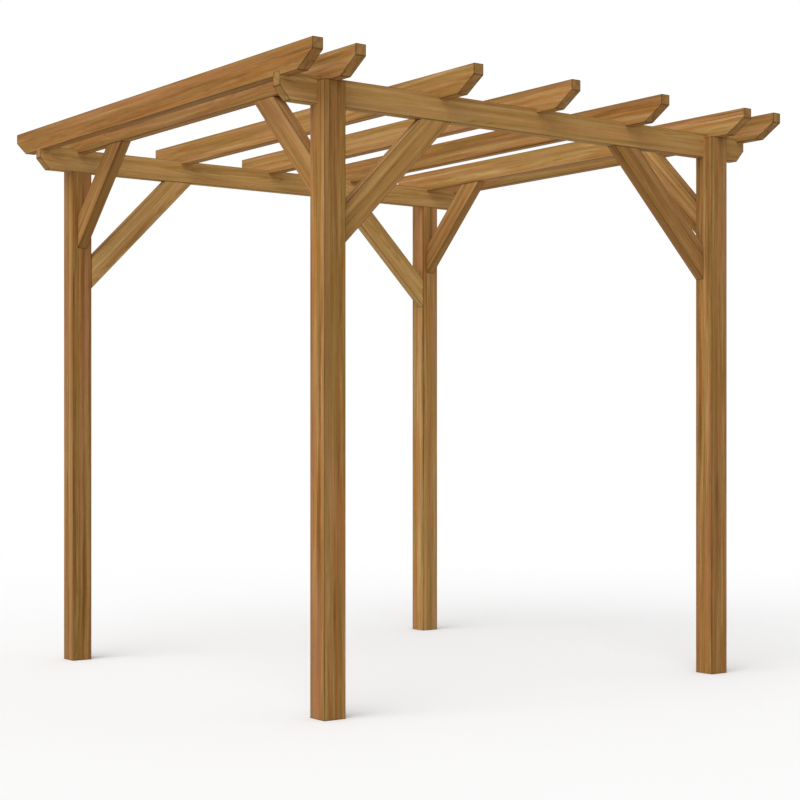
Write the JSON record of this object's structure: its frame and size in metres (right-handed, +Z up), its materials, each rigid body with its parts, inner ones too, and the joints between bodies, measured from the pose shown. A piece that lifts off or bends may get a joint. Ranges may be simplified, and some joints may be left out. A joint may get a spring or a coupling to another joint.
{
  "type": "wooden pergola",
  "caption": "Open square timber pergola: braced corner posts carry two beams, with rafters laid across and notched over them, all ends cut back underneath.",
  "frame": {"origin": "on the floor, in the middle of the plan between the four posts", "axes": "+Z up, +Y back along the rafters, +X to the right along the beams"},
  "size_m": [2.325, 2.36, 2.32],
  "materials": {
    "posts": "planed softwood, oiled honey brown, satin",
    "beams": "planed softwood, oiled honey brown, satin",
    "rafters": "planed softwood, oiled honey brown, satin",
    "braces": "planed softwood, oiled honey brown, satin"
  },
  "bodies": {
    "root": {"post_front_left": "posts", "post_front_right": "posts", "post_rear_left": "posts", "post_rear_right": "posts", "beam_front": "beams", "beam_rear": "beams", "rafter_1": "rafters", "rafter_2": "rafters", "rafter_3": "rafters", "rafter_4": "rafters", "rafter_5": "rafters", "rafter_6": "rafters", "rafter_7": "rafters", "beam_brace_front_left": "braces", "beam_brace_front_right": "braces", "beam_brace_rear_left": "braces", "beam_brace_rear_right": "braces", "rafter_brace_front_left": "braces", "rafter_brace_front_right": "braces", "rafter_brace_rear_left": "braces", "rafter_brace_rear_right": "braces"}
  },
  "joints": []
}
